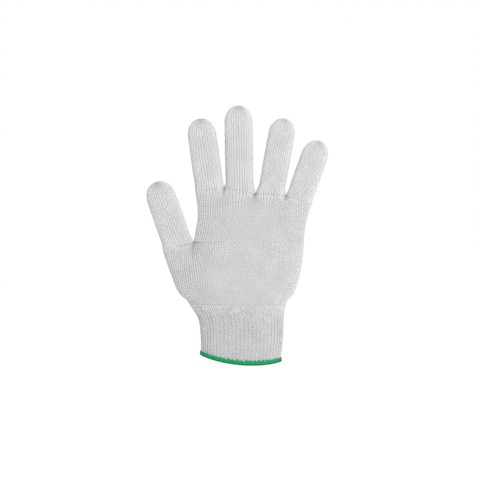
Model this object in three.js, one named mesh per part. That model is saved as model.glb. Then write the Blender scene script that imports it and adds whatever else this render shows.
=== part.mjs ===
// A seamless knitted cotton work glove, in the shape it takes when it is filled, fingers up and palm to the front.
// The knitting machine makes it as tubes: one for each digit, a hand that they open into, and a ribbed cuff with
// elastic. An overlocked thread then binds the cuff's cut edge.
// Millimetres. +Z runs from the wrist to the fingertips, +X from the thumb to the little finger and +Y out of the
// back of the hand. The origin is the centre of the wrist opening.
import * as THREE from "three";

// Fabric
const knitWall = 1.8; // thickness of the plain knit
const pieceGap = 0.5; // left between neighbouring pieces

// Cuff
const cuffHeight = 54.2;
const cuffWidth = 75;
const cuffDepth = 47;
const cuffWall = 2; // under the valleys of the ribs
const ribCount = 56; // ribs in the round
const ribRise = 0.8; // from the valley to the crest
const mouthTilt = 3; // how much higher the mouth is at the thumb side than in the middle
const mouthLift = 4.6; // how much higher the mouth is at both sides than in front
const mouthRise = 1.5; // brings the lowest point of the edge level with the origin

// Overlocked edge, a channel of thread round the cuff's end
const edgeHeight = 4.6;
const edgeThickness = 0.9;
const edgeTooth = 0.8; // rise and fall of its upper line, from stitch to stitch
const edgeClearance = 0.3; // between the thread and the ribs
const edgeRound = 0.4; // how far its corners are rounded, as a share of its thickness

// Hand. The heel runs from the cuff to the thumb's crotch, and the knuckles' stretch from there to the fingers.
const heelLength = 57;
const knuckleLength = 46;
const handBreadth = 100;
const handDepth = 40;
const thumbArch = 30; // length of the valley that opens into the thumb's crotch
const fingerArch = 14; // length of the valleys that open into the crotches between the fingers

// Digits. foot is the breadth between the crotches on both sides of a digit, length runs from the middle of its
// foot to its tip, tilt is in degrees towards the little finger, curl is how far the tip stands forward and drop
// is how far the crotch beyond the digit lies below a line square to it.
const fingers = [
  { name: "index_finger", width: 26.4, depth: 22, foot: 26.9, length: 65.8, tilt: -8, curl: 5, drop: 0 },
  { name: "middle_finger", width: 25.8, depth: 22, foot: 28.5, length: 77.6, tilt: -1.1, curl: 6, drop: 5.5 },
  { name: "ring_finger", width: 24.3, depth: 21, foot: 28.7, length: 70.3, tilt: 10.2, curl: 6.5, drop: -3 },
  { name: "little_finger", width: 24.6, depth: 20, foot: 24.8, length: 57, tilt: 19.6, curl: 6.5, drop: 0 },
];
const thumb = { name: "thumb", width: 27.2, depth: 24, foot: 29.3, length: 62.9, tilt: -19, curl: 7 };
const indexReach = 42; // from the wrist's axis to the outer side of the index finger's foot
const thumbReach = 43.2; // from the wrist's axis to the thumb's crotch
const thumbForward = 6; // how far the thumb's root lies in front of the wrist's axis
const rootRun = 9; // length over which a digit takes its own width
const stubLength = 3; // a digit's first courses, which the hand's piece keeps

// How fine the solids are
const fingerSegments = 7; // across one face of a finger
const thumbSegments = 8;
const palmSegments = fingers.length * fingerSegments;
const plainRings = 3; // below an arch
const archAngles = [0, 25, 48, 68, 82]; // round the arch, from the valley's foot at 0 to the crotch at 90
const tipAngles = [22, 42, 60, 76];

// Shares of cuffHeight, cuffWidth and cuffDepth. ribs is how much of the ribs' rise shows, and slant how much of
// the mouth's.
const cuffSections = [
  { rise: 0, thumbSide: 0.488, littleSide: 0.484, front: 0.485, back: 0.485, ribs: 1, slant: 1 },
  { rise: 0.32, thumbSide: 0.494, littleSide: 0.512, front: 0.49, back: 0.49, ribs: 1, slant: 0.6 },
  { rise: 0.62, thumbSide: 0.508, littleSide: 0.522, front: 0.5, back: 0.5, ribs: 1, slant: 0.25 },
  { rise: 0.79, thumbSide: 0.539, littleSide: 0.525, front: 0.505, back: 0.5, ribs: 0.85, slant: 0.08 },
  { rise: 0.89, thumbSide: 0.58, littleSide: 0.536, front: 0.51, back: 0.495, ribs: 0.5, slant: 0 },
  { rise: 1, thumbSide: 0.628, littleSide: 0.556, front: 0.515, back: 0.49, ribs: 0, slant: 0 },
];

// Shares of heelLength, handBreadth and handDepth. mound is how far the thumb's ball stands out of the front.
const heelSections = [
  { rise: 0.07, thumbSide: 0.497, littleSide: 0.427, front: 0.6, back: 0.565, mound: 0.02 },
  { rise: 0.14, thumbSide: 0.548, littleSide: 0.472, front: 0.595, back: 0.55, mound: 0.045 },
  { rise: 0.24, thumbSide: 0.588, littleSide: 0.5, front: 0.58, back: 0.53, mound: 0.085 },
  { rise: 0.46, thumbSide: 0.634, littleSide: 0.537, front: 0.525, back: 0.48, mound: 0.13 },
  { rise: 0.72, thumbSide: 0.69, littleSide: 0.565, front: 0.475, back: 0.445, mound: 0.1 },
  { rise: 1, thumbSide: 0.745, littleSide: 0.577, front: 0.43, back: 0.42, mound: 0.03 },
];

// Shares of knuckleLength, handBreadth and handDepth, from the heel's last section on. The two sides say how far
// the outline stands out of the straight line from the thumb's crotch, or the heel, to the outer fingers.
const knuckleSections = [
  { rise: 0.25, thumbSide: -0.017, littleSide: -0.01, front: 0.405, back: 0.41 },
  { rise: 0.5, thumbSide: -0.031, littleSide: -0.014, front: 0.375, back: 0.395 },
  { rise: 0.75, thumbSide: -0.021, littleSide: -0.009, front: 0.345, back: 0.37 },
  { rise: 1, thumbSide: 0, littleSide: 0, front: 0.315, back: 0.335 },
];

// Along a digit, in shares of its stretch below the rounded tip, of its width and of its depth.
const digitSections = [
  { along: 0, width: 0.97, depth: 1 },
  { along: 0.2, width: 0.985, depth: 1.02 },
  { along: 0.42, width: 1, depth: 1.03 },
  { along: 0.68, width: 1, depth: 1 },
  { along: 1, width: 0.99, depth: 0.95 },
];

// Folds in the cloth where the cuff gathers it, as shares of handBreadth across and of cuffHeight up.
const folds = [
  { across: -0.395, height: 0.93, lean: 38, length: 13, breadth: 5, depth: 1.6 },
  { across: 0.365, height: 0.95, lean: -12, length: 13, breadth: 5, depth: 1.1 },
];

const roundness = 2.3; // of every section: 2 is an ellipse, and more is squarer
const tipRound = 0.6; // length of a digit's rounded tip, as a share of its width
const tipFullness = 0.92; // 1 is an ellipse, and less is blunter
const moundCentre = 0.3; // where the thumb's ball stands highest, across the heel from the thumb's side
const moundSpread = 0.16;
const thumbValley = 0.8; // how far the valley spreads from the thumb's crotch, in widths of the thumb
const fingerValley = 0.3; // how far those between the fingers spread, in widths of a finger
const ovalSteps = 240; // measured along half an oval, to space its points evenly
const FORWARD = new THREE.Vector3(0, -1, 0);
const BACKWARD = new THREE.Vector3(0, 1, 0);

const knit = new THREE.MeshStandardMaterial({ color: 0xd9d9da, roughness: 0.95, metalness: 0 });
const ribKnit = new THREE.MeshStandardMaterial({ color: 0xd2d2d2, roughness: 0.95, metalness: 0 });
const greenThread = new THREE.MeshStandardMaterial({ color: 0x1ba05f, roughness: 0.8, metalness: 0 });

const radians = THREE.MathUtils.degToRad;
const place = (x, y, z) => new THREE.Vector3(x, y, z);
const between = (a, b, share) => a.clone().lerp(b, share);

// Directions along and across a digit that leans by some degrees towards the little finger.
const alongOf = (tilt) => place(Math.sin(radians(tilt)), 0, Math.cos(radians(tilt)));
const acrossOf = (tilt) => place(Math.cos(radians(tilt)), 0, -Math.sin(radians(tilt)));

// A smooth curve through the rows of a table: the values of one row's columns, read at any height.
function readSections(rows, height) {
  const last = rows.length - 1;
  let i = 0;
  while (i < last - 1 && rows[i + 1].height < height) i++;
  const row = (k) => rows[THREE.MathUtils.clamp(k, 0, last)];
  const span = row(i + 1).height - row(i).height;
  const t = THREE.MathUtils.clamp((height - row(i).height) / span, 0, 1);
  const slopeAt = (k, column) => {
    const run = row(k + 1).height - row(k - 1).height;
    return ((row(k + 1)[column] - row(k - 1)[column]) / run) * span;
  };
  const read = {};
  for (const column of Object.keys(row(i))) {
    const [a, b] = [row(i)[column], row(i + 1)[column]];
    const [slopeA, slopeB] = [slopeAt(i, column), slopeAt(i + 1, column)];
    const rise = 3 * t ** 2 - 2 * t ** 3;
    read[column] = a + (b - a) * rise + slopeA * t * (1 - t) ** 2 - slopeB * (1 - t) * t ** 2;
  }
  return read;
}

// Half a section: evenly spaced points from one side of the glove to the other, over its front or its back.
function halfOval(left, right, outward, depth, segments) {
  const middle = between(left, right, 0.5);
  const half = right.clone().sub(middle);
  const at = (i) => {
    const turn = (i / ovalSteps) * Math.PI;
    const sideways = -Math.sign(Math.cos(turn)) * Math.abs(Math.cos(turn)) ** (2 / roundness);
    const out = Math.sin(turn) ** (2 / roundness);
    return middle.clone().addScaledVector(half, sideways).addScaledVector(outward, out * depth);
  };
  const run = [0];
  for (let i = 1; i <= ovalSteps; i++) run.push(run[i - 1] + at(i).distanceTo(at(i - 1)));
  const points = [left.clone()];
  let i = 0;
  for (let k = 1; k < segments; k++) {
    const want = (run[ovalSteps] * k) / segments;
    while (run[i + 1] < want) i++;
    points.push(between(at(i), at(i + 1), (want - run[i]) / (run[i + 1] - run[i])));
  }
  points.push(right.clone());
  return points;
}

// A section is its front and its back, each from the thumb's side to the little finger's. As a ring it runs over
// the front and comes home over the back.
const ringOf = ({ front, back }) => [...front, ...back.slice(1, -1).reverse()];

const oval = (left, right, front, back, segments) => ({
  front: halfOval(left, right, FORWARD, front, segments),
  back: halfOval(left, right, BACKWARD, back, segments),
});

const joined = (ovals) => ({
  front: ovals.flatMap((one, i) => (i ? one.front.slice(1) : one.front)),
  back: ovals.flatMap((one, i) => (i ? one.back.slice(1) : one.back)),
});

const mixed = (a, b, shareAt) => ({
  front: a.front.map((p, i) => between(p, b.front[i], shareAt(i))),
  back: a.back.map((p, i) => between(p, b.back[i], shareAt(i))),
});

// How much the digits show in a section some way below their crotches. A valley into a crotch rises along a round
// arch, and between the valleys the digits come out of the hand gently.
function digitsShow(drop, archLength, crotches, segments, spread) {
  const up = THREE.MathUtils.clamp(1 - drop / archLength, 0, 1);
  const arch = 1 - Math.sqrt(1 - up * up);
  const gentle = THREE.MathUtils.smoothstep(up, 0, 1);
  return (i) => {
    const off = Math.min(...crotches.map((crotch) => Math.abs(i - crotch))) / segments;
    return THREE.MathUtils.lerp(gentle, arch, Math.exp(-((off / spread) ** 2)));
  };
}

// The sections in millimetres, by height: up the cuff and the heel, and from there up the knuckles.
const thumbLine = cuffHeight + heelLength;
const fingerLine = thumbLine + knuckleLength;
const cuffRows = cuffSections.map((row) => ({
  height: row.rise * cuffHeight,
  left: -row.thumbSide * cuffWidth,
  right: row.littleSide * cuffWidth,
  front: row.front * cuffDepth,
  back: row.back * cuffDepth,
  ribs: row.ribs,
  slant: row.slant,
  mound: 0,
}));
const heelRows = heelSections.map((row) => ({
  height: cuffHeight + row.rise * heelLength,
  left: -row.thumbSide * handBreadth,
  right: row.littleSide * handBreadth,
  front: row.front * handDepth,
  back: row.back * handDepth,
  ribs: 0,
  slant: 0,
  mound: row.mound * handDepth,
}));
const lowerRows = [...cuffRows, ...heelRows];
const heelTop = heelRows.at(-1);
const knuckleRows = [
  { height: thumbLine, thumbOut: 0, littleOut: 0 },
  ...knuckleSections.map((row) => ({
    height: thumbLine + row.rise * knuckleLength,
    thumbOut: row.thumbSide * handBreadth,
    littleOut: row.littleSide * handBreadth,
    front: row.front * handDepth,
    back: row.back * handDepth,
  })),
];
const depthRows = [...lowerRows, ...knuckleRows.slice(1)].map(({ height, front, back }) => ({
  height,
  front,
  back,
}));
const sideRows = knuckleRows.map(({ height, thumbOut, littleOut }) => ({ height, thumbOut, littleOut }));
const digitRows = digitSections.map(({ along, width, depth }) => ({ height: along, width, depth }));

// Each finger's foot runs from crotch to crotch, and the next finger's starts where it ends.
function placeFingers() {
  let corner = place(-indexReach, 0, fingerLine);
  for (const finger of fingers) {
    finger.left = corner;
    corner = corner.clone().addScaledVector(acrossOf(finger.tilt), finger.foot);
    corner.z -= finger.drop;
    finger.right = corner;
  }
}

function placeThumb() {
  thumb.right = place(-thumbReach, -thumbForward / 2, thumbLine);
  thumb.left = thumb.right.clone().addScaledVector(acrossOf(thumb.tilt), -thumb.foot);
  thumb.left.y = -thumbForward;
}

const footOf = (digit, segments) =>
  oval(digit.left, digit.right, digit.depth / 2, digit.depth / 2, segments);

// A crotch's line runs down into the hand, midway between the directions of its neighbours.
const below = (point, tiltBefore, tiltAfter, drop) =>
  point.clone().addScaledVector(alongOf((tiltBefore + tiltAfter) / 2), -drop);

// A section of the knuckles as the fingers would have it, each still its own oval.
function fourFingers(drop) {
  const ovals = fingers.map((finger, i) => {
    const before = fingers[i - 1] ?? finger;
    const after = fingers[i + 1] ?? finger;
    const left = below(finger.left, before.tilt, finger.tilt, drop);
    const right = below(finger.right, finger.tilt, after.tilt, drop);
    return footOf({ ...finger, left, right }, fingerSegments);
  });
  return joined(ovals);
}

// A section of the knuckles, some way below the finger line.
function knuckleSection(drop) {
  const up = 1 - drop / knuckleLength;
  const depth = readSections(depthRows, fingerLine - drop);
  const side = readSections(sideRows, fingerLine - drop);
  const left = between(thumb.right, fingers[0].left, up);
  const right = between(place(heelTop.right, 0, thumbLine), fingers.at(-1).right, up);
  left.x -= side.thumbOut;
  right.x += side.littleOut;
  const whole = oval(left, right, depth.front, depth.back, palmSegments);
  const crotches = fingers.slice(1).map((_, i) => (i + 1) * fingerSegments);
  const shareAt = digitsShow(drop, fingerArch, crotches, fingerSegments, fingerValley);
  return mixed(whole, fourFingers(drop), shareAt);
}

// The palm's own oval in a section of the heel, from the thumb's valley to the little finger's side.
function palmOval(crotch, drop) {
  const height = thumbLine - drop;
  const depth = readSections(depthRows, height);
  const right = place(readSections(lowerRows, height).right, 0, height);
  return oval(crotch, right, depth.front, depth.back, palmSegments);
}

// A section of the heel, some way below the thumb's crotch. It rises less at the thumb's side.
function heelSection(drop) {
  const height = thumbLine - drop;
  const up = 1 - drop / heelLength;
  const depth = readSections(depthRows, height);
  const thumbHeight = THREE.MathUtils.lerp(cuffHeight, thumb.left.z, up);
  const left = place(readSections(lowerRows, thumbHeight).left, thumb.left.y * up, thumbHeight);
  const right = place(readSections(lowerRows, height).right, 0, height);
  const whole = oval(left, right, depth.front, depth.back, thumbSegments + palmSegments);
  const mound = readSections(lowerRows, height).mound;
  for (const p of whole.front) {
    const off = (p.x - left.x) / (right.x - left.x) - moundCentre;
    p.y -= mound * Math.exp(-((off / moundSpread) ** 2));
  }
  const outer = below(thumb.left, thumb.tilt, thumb.tilt, drop);
  const crotch = below(thumb.right, thumb.tilt, 0, drop);
  const root = footOf({ ...thumb, left: outer, right: crotch }, thumbSegments);
  const shareAt = digitsShow(drop, thumbArch, [thumbSegments], thumbSegments, thumbValley);
  return mixed(whole, joined([root, palmOval(crotch, drop)]), shareAt);
}

const domeStart = (digit) => digit.length - tipRound * digit.width;

// A digit's section some way up from its foot. Its sides leave the crotches and ease into its own width.
function digitSection(digit, run, segments, shrink = 1) {
  const share = run / digit.length;
  const size = readSections(digitRows, run / domeStart(digit));
  const lift = alongOf(digit.tilt).multiplyScalar(run).addScaledVector(FORWARD, digit.curl * share ** 2);
  const across = acrossOf(digit.tilt).multiplyScalar((size.width * digit.width * shrink) / 2);
  const centre = between(digit.left, digit.right, 0.5).add(lift);
  const ease = THREE.MathUtils.smoothstep(run, 0, rootRun);
  const left = between(digit.left.clone().add(lift), centre.clone().sub(across), ease);
  const right = between(digit.right.clone().add(lift), centre.clone().add(across), ease);
  const depth = (size.depth * digit.depth * shrink) / 2;
  return oval(left, right, depth, depth, segments);
}

// How far the folds press the cloth in at a point.
function foldDepth(p) {
  return folds.reduce((sum, fold) => {
    const offset = p.clone().sub(place(fold.across * handBreadth, 0, fold.height * cuffHeight));
    const along = offset.dot(alongOf(fold.lean)) / fold.length;
    const aside = offset.dot(acrossOf(fold.lean)) / fold.breadth;
    return sum + fold.depth * Math.exp(-(along ** 2) - aside ** 2);
  }, 0);
}

// Each point of a ring with the level direction that points out of the glove there.
function outwardsOf(ring) {
  return ring.map((p, k) => {
    const step = ring[(k + 1) % ring.length].clone().sub(ring.at(k - 1));
    return place(step.y, -step.x, 0).normalize();
  });
}

const folded = (ring) => {
  const outwards = outwardsOf(ring);
  return ring.map((p, k) => p.clone().addScaledVector(outwards[k], -foldDepth(p)));
};

// Cloth as one open surface: points shared by every piece, and each piece's own faces.
const cloth = { points: [], indexAt: new Map(), faces: {} };

// Points that fall together are one: a crotch is a single point of the hand and of both its digits.
function addPoint(p) {
  const key = p.toArray().map((v) => v.toFixed(3)).join(" ");
  if (!cloth.indexAt.has(key)) cloth.indexAt.set(key, cloth.points.push(p) - 1);
  return cloth.indexAt.get(key);
}

const addRing = (points) => points.map(addPoint);

function addBand(piece, lower, upper) {
  const faces = (cloth.faces[piece] ??= []);
  lower.forEach((a, k) => {
    const next = (k + 1) % lower.length;
    faces.push([a, lower[next], upper[next]], [a, upper[next], upper[k]]);
  });
}

function addBands(piece, rings) {
  for (let i = 1; i < rings.length; i++) addBand(piece, rings[i - 1], rings[i]);
}

function addTip(piece, ring, point) {
  const tip = addPoint(point);
  ring.forEach((a, k) => cloth.faces[piece].push([a, ring[(k + 1) % ring.length], tip]));
}

// How far below the crotches the sections lie: evenly spaced up to an arch's foot, then closer and closer.
function dropsFrom(start, archLength) {
  const plain = Array.from({ length: plainRings }, (_, i) => start + ((archLength - start) * i) / plainRings);
  return [...plain, ...archAngles.map((angle) => archLength * (1 - Math.sin(radians(angle))))];
}

// The heel ends in the feet of the thumb and the palm, and the palm in the feet of the fingers.
function growHand() {
  const palmFoot = palmOval(thumb.right, 0);
  const heel = dropsFrom(heelLength - pieceGap, thumbArch).map(heelSection);
  const knuckles = dropsFrom(knuckleLength, fingerArch).slice(1).map(knuckleSection);
  const heelEnd = joined([footOf(thumb, thumbSegments), palmFoot]);
  addBands("palm", [...heel.map((section) => addRing(folded(ringOf(section)))), addRing(ringOf(heelEnd))]);
  addBands("palm", [palmFoot, ...knuckles, fourFingers(0)].map((section) => addRing(ringOf(section))));
}

// A digit's first courses stay with the hand's piece, and its own piece runs from there to the tip.
function growDigit(digit, segments) {
  const ringAt = (run, shrink) => addRing(ringOf(digitSection(digit, run, segments, shrink)));
  addBand("palm", addRing(ringOf(footOf(digit, segments))), ringAt(stubLength));
  const start = domeStart(digit);
  const dome = digit.length - start;
  const rings = [
    ringAt(stubLength + pieceGap),
    ...digitRows.slice(1).map((row) => ringAt(start * row.height)),
    ...tipAngles.map((angle) =>
      ringAt(start + dome * Math.sin(radians(angle)), Math.cos(radians(angle)) ** tipFullness),
    ),
  ];
  addBands(digit.name, rings);
  const tip = between(digit.left, digit.right, 0.5).addScaledVector(alongOf(digit.tilt), digit.length);
  addTip(digit.name, rings.at(-1), tip.addScaledVector(FORWARD, digit.curl));
}

// A piece of cloth as a solid: its faces, the same faces a wall's thickness inside, and a rim along each open edge.
function clothMesh(piece, material) {
  const faces = cloth.faces[piece];
  const used = [...new Set(faces.flat())];
  const outer = new Map(used.map((v, i) => [v, i]));
  const inner = (v) => outer.get(v) + used.length;
  const outside = used.map((v) => cloth.points[v]);
  const inside = outside.map((p, i) => p.clone().addScaledVector(cloth.normals[used[i]], -knitWall));
  const edges = new Set(faces.flatMap(([a, b, c]) => [`${a} ${b}`, `${b} ${c}`, `${c} ${a}`]));
  const outerFaces = faces.flatMap(([a, b, c]) => [outer.get(a), outer.get(b), outer.get(c)]);
  const innerFaces = faces.flatMap(([a, b, c]) => [inner(c), inner(b), inner(a)]);
  const index = [...outerFaces, ...innerFaces];
  for (const edge of edges) {
    const [a, b] = edge.split(" ").map(Number);
    if (edges.has(`${b} ${a}`)) continue;
    index.push(outer.get(b), outer.get(a), inner(a), outer.get(b), inner(a), inner(b));
  }
  return meshFrom([...outside, ...inside], index, piece, material);
}

function meshFrom(points, index, name, material) {
  const geometry = new THREE.BufferGeometry().setFromPoints(points);
  geometry.setIndex(index);
  geometry.computeVertexNormals();
  const mesh = new THREE.Mesh(geometry, material);
  mesh.name = name;
  return mesh;
}

function findNormals() {
  const whole = meshFrom(cloth.points, Object.values(cloth.faces).flat(2)).geometry.attributes.normal;
  cloth.normals = cloth.points.map((_, v) => new THREE.Vector3().fromBufferAttribute(whole, v));
}

// A body all the way round the cuff. Each profile is its closed section there, seen with the outside to the left.
function hoop(profiles, name, material) {
  const count = profiles[0].length;
  const index = [];
  profiles.forEach((_, r) => {
    const after = (r + 1) % profiles.length;
    for (let k = 0; k < count; k++) {
      const next = (k + 1) % count;
      const [a, b, c, d] = [r * count + k, after * count + k, after * count + next, r * count + next];
      index.push(a, b, c, a, c, d);
    }
  });
  return meshFrom(profiles.flat(), index, name, material);
}

// The crests of the cuff's ribs at one of its sections, with the mouth's slant.
function cuffRing(row) {
  const left = place(row.left, 0, row.height);
  const right = place(row.right, 0, row.height);
  const ring = ringOf(oval(left, right, row.front, row.back, ribCount));
  for (const p of ring) {
    const across = (2 * p.x - row.left - row.right) / (row.right - row.left);
    p.z += row.slant * (mouthRise + mouthLift * across ** 2 - mouthTilt * across);
  }
  return folded(ring);
}

// Every other point of a cuff ring lies in a valley.
const valleyAt = (k) => (k % 2 === 0 ? 0 : 1);

function cuffMesh() {
  const rings = cuffRows.map((row) => {
    const crests = cuffRing(row);
    const outwards = outwardsOf(crests);
    const wall = knitWall + row.ribs * (cuffWall + ribRise - knitWall);
    return {
      outer: crests.map((p, k) => p.clone().addScaledVector(outwards[k], -row.ribs * ribRise * valleyAt(k))),
      inner: crests.map((p, k) => p.clone().addScaledVector(outwards[k], -wall)),
    };
  });
  const down = rings.toReversed();
  const profiles = rings[0].outer.map((_, k) => [
    ...rings.map((ring) => ring.outer[k]),
    ...down.map((ring) => ring.inner[k]),
  ]);
  return hoop(profiles, "rib_cuff", ribKnit);
}

// The thread goes up both faces of the cuff's end and under it.
function edgeMesh() {
  const crests = cuffRing(cuffRows[0]);
  const outwards = outwardsOf(crests);
  const outside = edgeClearance;
  const inside = -(ribRise + cuffWall + edgeClearance);
  const soft = edgeThickness * edgeRound;
  const profiles = crests.map((p, k) => {
    const at = (out, up) => p.clone().addScaledVector(outwards[k], out).add(place(0, 0, up));
    const top = edgeHeight - edgeThickness - edgeClearance - edgeTooth * (1 - valleyAt(k));
    return [
      at(outside + soft, -edgeClearance - edgeThickness),
      at(outside + edgeThickness, -edgeClearance),
      at(outside + edgeThickness, top - soft),
      at(outside, top),
      at(outside, -edgeClearance),
      at(inside, -edgeClearance),
      at(inside, top),
      at(inside - edgeThickness, top - soft),
      at(inside - edgeThickness, -edgeClearance),
      at(inside - soft, -edgeClearance - edgeThickness),
    ];
  });
  return hoop(profiles, "edge_overlock", greenThread);
}

placeFingers();
placeThumb();
growHand();
growDigit(thumb, thumbSegments);
for (const finger of fingers) growDigit(finger, fingerSegments);
findNormals();

const glove = new THREE.Group();
for (const piece of Object.keys(cloth.faces)) glove.add(clothMesh(piece, knit));
glove.add(cuffMesh(), edgeMesh());

export default glove;
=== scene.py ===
# A seamless cotton work glove, string-knit in natural white, with a ribbed elastic cuff and a green
# overlocked edge. It stands in its worn shape, fingers up and palm to the camera. Shapes are worked out in
# millimetres and written to Blender in metres. +Z runs to the fingertips, +X to the little finger and +Y
# out of the glove's back.
import math

import bpy
import numpy as np
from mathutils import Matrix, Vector


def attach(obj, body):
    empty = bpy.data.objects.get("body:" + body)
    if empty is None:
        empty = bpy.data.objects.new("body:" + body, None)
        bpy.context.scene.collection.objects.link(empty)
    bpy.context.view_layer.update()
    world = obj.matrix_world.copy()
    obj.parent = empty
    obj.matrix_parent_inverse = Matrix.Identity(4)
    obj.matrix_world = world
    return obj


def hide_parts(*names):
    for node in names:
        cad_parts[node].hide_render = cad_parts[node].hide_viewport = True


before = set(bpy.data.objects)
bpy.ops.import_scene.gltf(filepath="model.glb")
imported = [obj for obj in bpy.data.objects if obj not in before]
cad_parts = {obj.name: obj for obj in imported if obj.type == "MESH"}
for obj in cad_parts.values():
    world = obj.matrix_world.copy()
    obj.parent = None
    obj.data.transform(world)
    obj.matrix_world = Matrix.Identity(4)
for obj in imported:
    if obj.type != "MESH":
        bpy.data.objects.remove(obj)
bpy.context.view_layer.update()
scene = bpy.context.scene
METRE = 0.001  # one millimetre

# Camera: level with the middle of the glove, square to the palm, and far enough away that the cuff and the
# fingertips are seen nearly straight on.
CAMERA_AT = (-0.9, -1040.0, 113.1)
PICTURE_WIDTH = 441.6  # what the picture spans at the glove's middle
SENSOR = 36.0

camera_data = bpy.data.cameras.new("camera")
camera_data.sensor_width = SENSOR
camera_data.lens = SENSOR * -CAMERA_AT[1] / PICTURE_WIDTH
camera = bpy.data.objects.new("camera", camera_data)
camera.location = Vector(CAMERA_AT) * METRE
camera.rotation_euler = (math.pi / 2, 0, 0)
scene.collection.objects.link(camera)
scene.camera = camera

# Light: a white tent all round, as for a catalogue picture, with one large soft lamp to the right of the
# camera and one behind the glove, so that its back is lit as well.
TENT_SEEN = 1.0
TENT_LIGHT = 0.66  # what reaches the glove is less than what is seen, which keeps its edges clear
LAMPS = [
    {"name": "key_lamp", "at": (190, -985, 260), "size": 560, "watts": 16.6},
    {"name": "back_lamp", "at": (-210, 985, 260), "size": 560, "watts": 12.0},
]
GLOVE_MIDDLE = Vector((0, 0, 115)) * METRE

tent = bpy.data.worlds.new("tent")
tent.use_nodes = True
tent_nodes = tent.node_tree.nodes
tent_nodes["Background"].inputs["Color"].default_value = (1, 1, 1, 1)
tent_seen = tent_nodes.new("ShaderNodeLightPath")
tent_level = tent_nodes.new("ShaderNodeMapRange")
tent_level.inputs["To Min"].default_value = TENT_LIGHT
tent_level.inputs["To Max"].default_value = TENT_SEEN
tent.node_tree.links.new(tent_seen.outputs["Is Camera Ray"], tent_level.inputs["Value"])
tent.node_tree.links.new(tent_level.outputs["Result"], tent_nodes["Background"].inputs["Strength"])
scene.world = tent
scene.view_settings.view_transform = "Standard"

for lamp in LAMPS:
    lamp_data = bpy.data.lights.new(lamp["name"], "AREA")
    lamp_data.shape = "SQUARE"
    lamp_data.size = lamp["size"] * METRE
    lamp_data.energy = lamp["watts"]
    lamp_object = bpy.data.objects.new(lamp["name"], lamp_data)
    lamp_object.location = Vector(lamp["at"]) * METRE
    aim = GLOVE_MIDDLE - lamp_object.location
    lamp_object.rotation_euler = aim.to_track_quat("-Z", "Y").to_euler()
    scene.collection.objects.link(lamp_object)

# Floor: a plain white sheet that glows evenly, as if lit from below. It lies well below the glove, which is
# held up by its wrist opening.
FLOOR_LEVEL = -320.0
FLOOR_REACH = 9000.0
FLOOR_GREY = 0.2
FLOOR_GLOW = 0.88

floor_mesh = bpy.data.meshes.new("floor")
floor_corners = [(-1, -1), (1, -1), (1, 1), (-1, 1)]
floor_points = [
    (x * FLOOR_REACH * METRE, y * FLOOR_REACH * METRE, FLOOR_LEVEL * METRE)
    for x, y in floor_corners
]
floor_mesh.from_pydata(floor_points, [], [(0, 1, 2, 3)])
floor = bpy.data.objects.new("floor", floor_mesh)
floor_finish = bpy.data.materials.new("white floor")
floor_finish.use_nodes = True
floor_shader = floor_finish.node_tree.nodes["Principled BSDF"]
floor_shader.inputs["Base Color"].default_value = (FLOOR_GREY, FLOOR_GREY, FLOOR_GREY, 1)
floor_shader.inputs["Emission Color"].default_value = (1, 1, 1, 1)
floor_shader.inputs["Emission Strength"].default_value = FLOOR_GLOW
floor_shader.inputs["Roughness"].default_value = 0.9
floor_shader.inputs["Specular IOR Level"].default_value = 0.0
floor_mesh.materials.append(floor_finish)
scene.collection.objects.link(floor)

# Digits: five tubes of plain cotton knit, each closed by gathering its last rounds over the tip. Each stitch
# shows as a V of two legs of soft, thick yarn. In the worn shape the tubes are stretched, so the stitches
# stand in columns with small gaps between them, most of all on the front.
CUFF_HEIGHT = 54.2
HEEL_LENGTH = 57.0
KNUCKLE_LENGTH = 46.0
THUMB_LINE = CUFF_HEIGHT + HEEL_LENGTH  # the height of the thumb's crotch
FINGER_LINE = THUMB_LINE + KNUCKLE_LENGTH  # the height where the index finger starts
INDEX_REACH = 42.0
THUMB_REACH = 43.2
THUMB_FORWARD = 6.0
ROOT_RUN = 9.0  # how far up a digit its sides have left the crotches
ROUNDNESS = 2.3  # an ellipse has 2, and more is squarer
OVAL_POINTS = 181
TIP_ROUND = 0.6  # the round tip's length, as a share of the digit's width
TIP_FULLNESS = 0.92
TIP_ANGLES = (9, 18, 27, 36, 45, 54, 62, 70, 77, 84)
TIP_GATHER = 6  # from this round of the tip on, two columns are knitted together
FORWARD = np.array([0.0, -1.0, 0.0])
BACKWARD = np.array([0.0, 1.0, 0.0])

# drop is how far a finger's foot falls from one crotch to the next, on top of what its tilt gives
FINGERS = [
    dict(name="index_finger", width=26.4, depth=22, foot=26.9, drop=0, length=65.8, tilt=-8, curl=5),
    dict(name="middle_finger", width=25.8, depth=22, foot=28.5, drop=5.5, length=77.6, tilt=-1.1, curl=6),
    dict(name="ring_finger", width=24.3, depth=21, foot=28.7, drop=-3.0, length=70.3, tilt=10.2, curl=6.5),
    dict(name="little_finger", width=24.6, depth=20, foot=24.8, drop=0, length=57, tilt=19.6, curl=6.5),
]
THUMB = dict(name="thumb", width=27.2, depth=24, foot=29.3, length=62.9, tilt=-19, curl=7)

# along, width, depth: shares of a digit's stretch below its round tip, of its width and of its depth
DIGIT_SECTIONS = [
    (0.00, 0.970, 1.00),
    (0.20, 0.985, 1.02),
    (0.42, 1.000, 1.03),
    (0.68, 1.00, 1.00),
    (1.00, 0.99, 0.95),
]


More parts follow.
